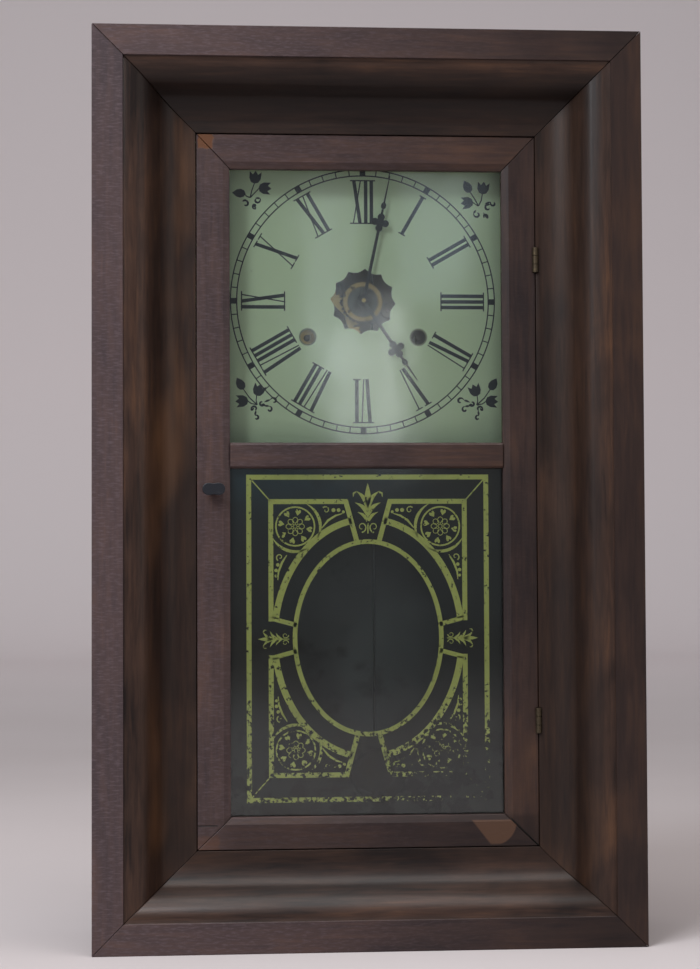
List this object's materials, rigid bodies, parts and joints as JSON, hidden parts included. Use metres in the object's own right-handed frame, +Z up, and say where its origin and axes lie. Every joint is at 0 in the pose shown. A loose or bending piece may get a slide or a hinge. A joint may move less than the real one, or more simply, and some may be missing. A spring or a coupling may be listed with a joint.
{
  "type": "ogee shelf clock",
  "caption": "Weight-driven shelf clock in a veneered ogee-moulded case, with a glazed hinged door, painted dial, brass going and count-wheel striking trains, pendulum and coil gong.",
  "frame": {"origin": "middle of the case's footprint, on the surface it stands on", "axes": "+Z up, the dial and door face -Y, +X to the right seen from the front"},
  "size_m": [0.394, 0.112, 0.67],
  "materials": {
    "mahogany": "gloss",
    "pine": "matte",
    "brass": "satin",
    "steel": "satin",
    "black_iron": "satin",
    "cast_iron": "matte",
    "tin": "satin",
    "dial_paint": "matte",
    "cord": "matte",
    "glass": "gloss"
  },
  "bodies": {
    "case": {"case_side_left": "mahogany", "case_side_right": "mahogany", "case_top_board": "pine", "case_bottom_board": "pine", "backboard": "pine", "ogee_rail_left": "mahogany", "ogee_rail_right": "mahogany", "ogee_rail_bottom": "mahogany", "ogee_rail_top": "mahogany", "channel_board_left": "pine", "channel_board_right": "pine", "seat_board": "pine", "pulley_cover_left": "tin", "pulley_cover_right": "tin", "upper_hinge_case_leaf": "brass", "lower_hinge_case_leaf": "brass", "dial": "dial_paint", "front_plate": "brass", "back_plate": "brass", "gong_base": "cast_iron", "gong_coil": "steel", "time_cord": "cord", "strike_cord": "cord"},
    "door": {"door_stile_left": "mahogany", "door_stile_right": "mahogany", "door_rail_bottom": "mahogany", "door_rail_top": "mahogany", "door_rail_middle": "mahogany", "dial_glass": "glass", "tablet_glass": "glass", "upper_hinge_door_leaf": "brass", "lower_hinge_door_leaf": "brass"},
    "catch": {"catch_knob": "black_iron", "catch_tongue": "steel"},
    "time_great_wheel": {"time_great_wheel": "brass"},
    "time_barrel": {"time_drum": "brass"},
    "time_weight": {"time_weight": "cast_iron", "time_cord_fall": "cord"},
    "time_pulley": {"time_pulley": "pine"},
    "centre_arbor": {"centre_arbor": "brass", "minute_hand": "black_iron"},
    "third_wheel": {"third_wheel": "brass"},
    "escape_wheel": {"escape_wheel": "brass"},
    "minute_wheel": {"minute_wheel": "brass"},
    "hour_hand": {"hour_wheel": "brass", "hour_hand": "black_iron"},
    "verge": {"verge_and_crutch": "steel"},
    "pendulum": {"pendulum_rod": "steel"},
    "bob": {"pendulum_bob": "brass"},
    "strike_great_wheel": {"strike_great_wheel": "brass"},
    "strike_barrel": {"strike_drum": "brass"},
    "strike_weight": {"strike_weight": "cast_iron", "strike_cord_fall": "cord"},
    "strike_pulley": {"strike_pulley": "pine"},
    "strike_pin_wheel": {"strike_pin_wheel": "brass"},
    "strike_locking_wheel": {"strike_locking_wheel": "brass"},
    "fly": {"strike_fly": "brass"},
    "count_wheel": {"count_wheel": "brass"},
    "hammer": {"hammer": "steel"},
    "lock_lever": {"lock_lever": "steel"}
  },
  "joints": [
    {"name": "door_hinge", "type": "hinge", "parent": "case", "child": "door", "pos_m": [0.1232, -0.0314, 0.32675], "axis": [0, 0, 1], "range_deg": [0, 150]},
    {"name": "door_catch", "type": "hinge", "parent": "door", "child": "catch", "pos_m": [-0.11095, -0.03, 0.32725], "axis": [0, 1, 0], "range_deg": [0, 90]},
    {"name": "time_weight_lift", "type": "slide", "parent": "case", "child": "time_weight", "axis": [0, 0, 1], "range_m": [0, 0.48], "deforming": ["time_cord_fall"]},
    {"name": "time_winding", "type": "hinge", "parent": "time_great_wheel", "child": "time_barrel", "pos_m": [0.041, 0.024, 0.4406], "axis": [0, 1, 0], "range_deg": [0, 1800]},
    {"name": "time_pulley_spin", "type": "hinge", "parent": "case", "child": "time_pulley", "pos_m": [0.1425, 0.024, 0.649], "axis": [0, -1, 0], "range_deg": [0, 1800]},
    {"name": "time_going", "type": "hinge", "parent": "case", "child": "centre_arbor", "pos_m": [0, 0.024, 0.467], "axis": [0, 1, 0], "continuous": true},
    {"name": "time_great_wheel_spin", "type": "hinge", "parent": "case", "child": "time_great_wheel", "pos_m": [0.041, 0.024, 0.4406], "axis": [0, 1, 0], "continuous": true},
    {"name": "third_wheel_spin", "type": "hinge", "parent": "case", "child": "third_wheel", "pos_m": [0.02255, 0.024, 0.48856], "axis": [0, 1, 0], "continuous": true},
    {"name": "escape_wheel_spin", "type": "hinge", "parent": "case", "child": "escape_wheel", "pos_m": [0.0075, 0.024, 0.507], "axis": [0, 1, 0], "continuous": true},
    {"name": "minute_wheel_spin", "type": "hinge", "parent": "case", "child": "minute_wheel", "pos_m": [0.01879, 0.007, 0.46016], "axis": [0, 1, 0], "continuous": true},
    {"name": "hour_hand_turn", "type": "hinge", "parent": "case", "child": "hour_hand", "pos_m": [0, 0.004, 0.467], "axis": [0, 1, 0], "continuous": true},
    {"name": "pendulum_swing", "type": "hinge", "parent": "case", "child": "pendulum", "pos_m": [0.0075, 0.0097, 0.529], "axis": [0, 1, 0], "range_deg": [-2.5, 2.5]},
    {"name": "verge_rock", "type": "hinge", "parent": "case", "child": "verge", "pos_m": [0.0075, 0.012, 0.529], "axis": [0, 1, 0], "range_deg": [-2.6, 2.6]},
    {"name": "bob_rating", "type": "slide", "parent": "pendulum", "child": "bob", "axis": [0, 0, 1], "range_m": [-0.006, 0.006]},
    {"name": "strike_weight_lift", "type": "slide", "parent": "case", "child": "strike_weight", "axis": [0, 0, 1], "range_m": [0, 0.48], "deforming": ["strike_cord_fall"]},
    {"name": "strike_winding", "type": "hinge", "parent": "strike_great_wheel", "child": "strike_barrel", "pos_m": [-0.041, 0.024, 0.4406], "axis": [0, -1, 0], "range_deg": [0, 1800]},
    {"name": "strike_pulley_spin", "type": "hinge", "parent": "case", "child": "strike_pulley", "pos_m": [-0.1425, 0.024, 0.649], "axis": [0, 1, 0], "range_deg": [0, 1800]},
    {"name": "strike_going", "type": "hinge", "parent": "case", "child": "strike_pin_wheel", "pos_m": [-0.04989, 0.024, 0.48242], "axis": [0, -1, 0], "continuous": true},
    {"name": "strike_great_wheel_spin", "type": "hinge", "parent": "case", "child": "strike_great_wheel", "pos_m": [-0.041, 0.024, 0.4406], "axis": [0, -1, 0], "continuous": true},
    {"name": "strike_locking_wheel_spin", "type": "hinge", "parent": "case", "child": "strike_locking_wheel", "pos_m": [-0.03939, 0.024, 0.5006], "axis": [0, -1, 0], "continuous": true},
    {"name": "fly_spin", "type": "hinge", "parent": "case", "child": "fly", "pos_m": [-0.03401, 0.024, 0.52069], "axis": [0, -1, 0], "continuous": true},
    {"name": "count_wheel_turn", "type": "hinge", "parent": "case", "child": "count_wheel", "pos_m": [-0.041, 0.012, 0.4406], "axis": [0, -1, 0], "continuous": true},
    {"name": "hammer_lift", "type": "hinge", "parent": "case", "child": "hammer", "pos_m": [-0.0725, 0.024, 0.471], "axis": [0, 1, 0], "range_deg": [0, 6], "stiffness_Nm_per_rad": 0.15, "springref_deg": -5.73},
    {"name": "lock_lever_lift", "type": "hinge", "parent": "case", "child": "lock_lever", "pos_m": [-0.066, 0.024, 0.511], "axis": [0, 1, 0], "range_deg": [0, 8], "stiffness_Nm_per_rad": 0.02, "springref_deg": -8.59}
  ],
  "couplings": [
    {"joint": "time_winding", "follows": "time_weight_lift", "rad_per_m": 65.359},
    {"joint": "time_pulley_spin", "follows": "time_weight_lift", "rad_per_m": 62.5},
    {"joint": "strike_winding", "follows": "strike_weight_lift", "rad_per_m": 65.359},
    {"joint": "strike_pulley_spin", "follows": "strike_weight_lift", "rad_per_m": 62.5},
    {"joint": "time_great_wheel_spin", "follows": "time_going", "ratio": -0.16667},
    {"joint": "third_wheel_spin", "follows": "time_going", "ratio": -9},
    {"joint": "escape_wheel_spin", "follows": "time_going", "ratio": 67.5},
    {"joint": "minute_wheel_spin", "follows": "time_going", "ratio": -0.33333},
    {"joint": "hour_hand_turn", "follows": "time_going", "ratio": 0.083333},
    {"joint": "verge_rock", "follows": "pendulum_swing", "ratio": 1},
    {"joint": "strike_great_wheel_spin", "follows": "strike_going", "ratio": -0.15385},
    {"joint": "strike_locking_wheel_spin", "follows": "strike_going", "ratio": -6},
    {"joint": "fly_spin", "follows": "strike_going", "ratio": 42},
    {"joint": "count_wheel_turn", "follows": "strike_going", "ratio": -0.076923}
  ]
}
